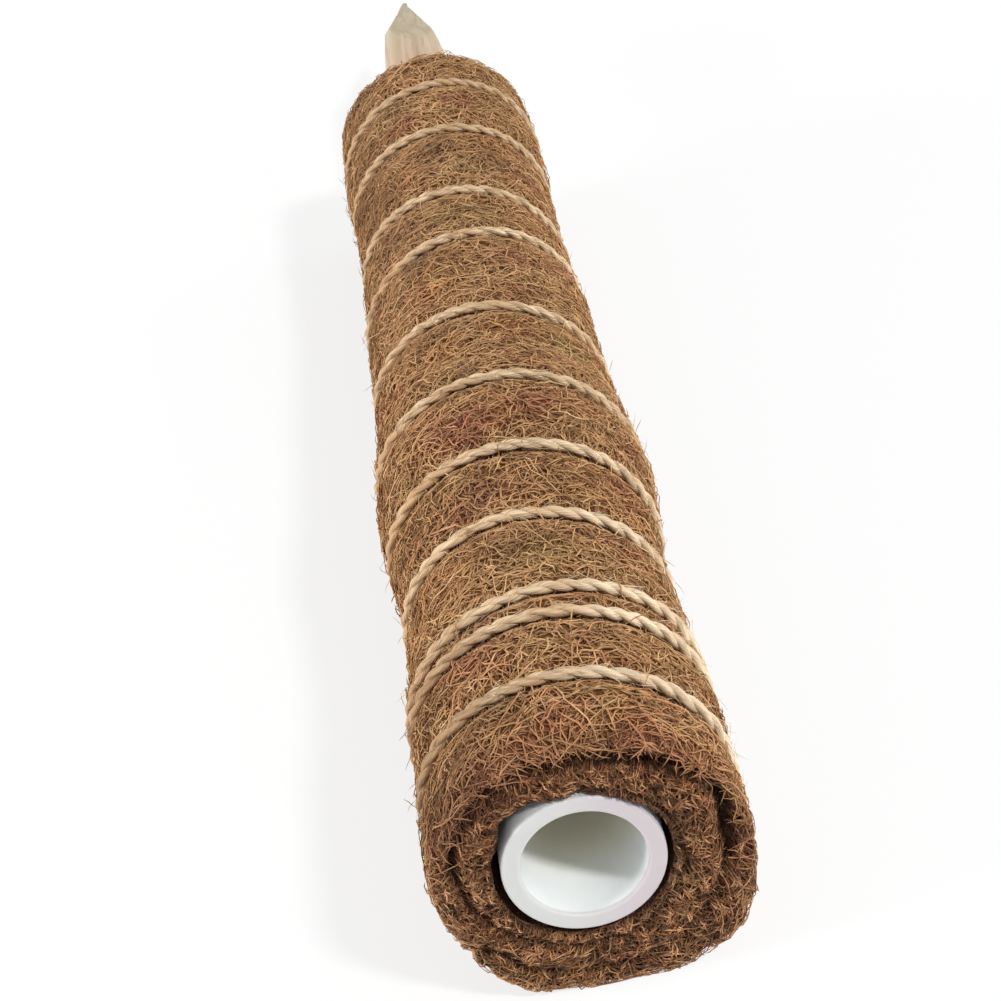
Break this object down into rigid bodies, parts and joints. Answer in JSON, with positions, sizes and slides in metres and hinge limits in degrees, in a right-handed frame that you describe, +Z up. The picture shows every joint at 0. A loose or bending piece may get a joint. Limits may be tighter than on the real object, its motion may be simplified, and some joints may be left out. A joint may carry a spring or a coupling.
{
  "type": "moss pole",
  "caption": "Coir moss pole: a coir mat rolled round a plastic tube and wound with jute twine, with a whittled wooden stake in one end of the tube and the other end open.",
  "frame": {"origin": "under the middle of the pole as it lies on a table: half its width and half its length, at the height of the table", "axes": "+Y along the pole from the open end of the tube to the point of the stake, +Z up from the table, +X to the right when looking along +Y"},
  "size_m": [0.0578, 0.45, 0.0548],
  "materials": {
    "tube_plastic": "white plastic pipe, satin",
    "coir": "matted coir fibre, rough and hairy",
    "jute": "two-ply twisted jute twine",
    "stake_wood": "bare pale softwood, knife-cut point"
  },
  "bodies": {
    "pole": {"core_tube": "tube_plastic", "coir_mat": "coir", "jute_twine": "jute"},
    "stake": {"wooden_stake": "stake_wood"}
  },
  "joints": [
    {"name": "stake_pull", "type": "slide", "parent": "pole", "child": "stake", "axis": [0, 1, 0], "range_m": [0, 0.055]}
  ]
}
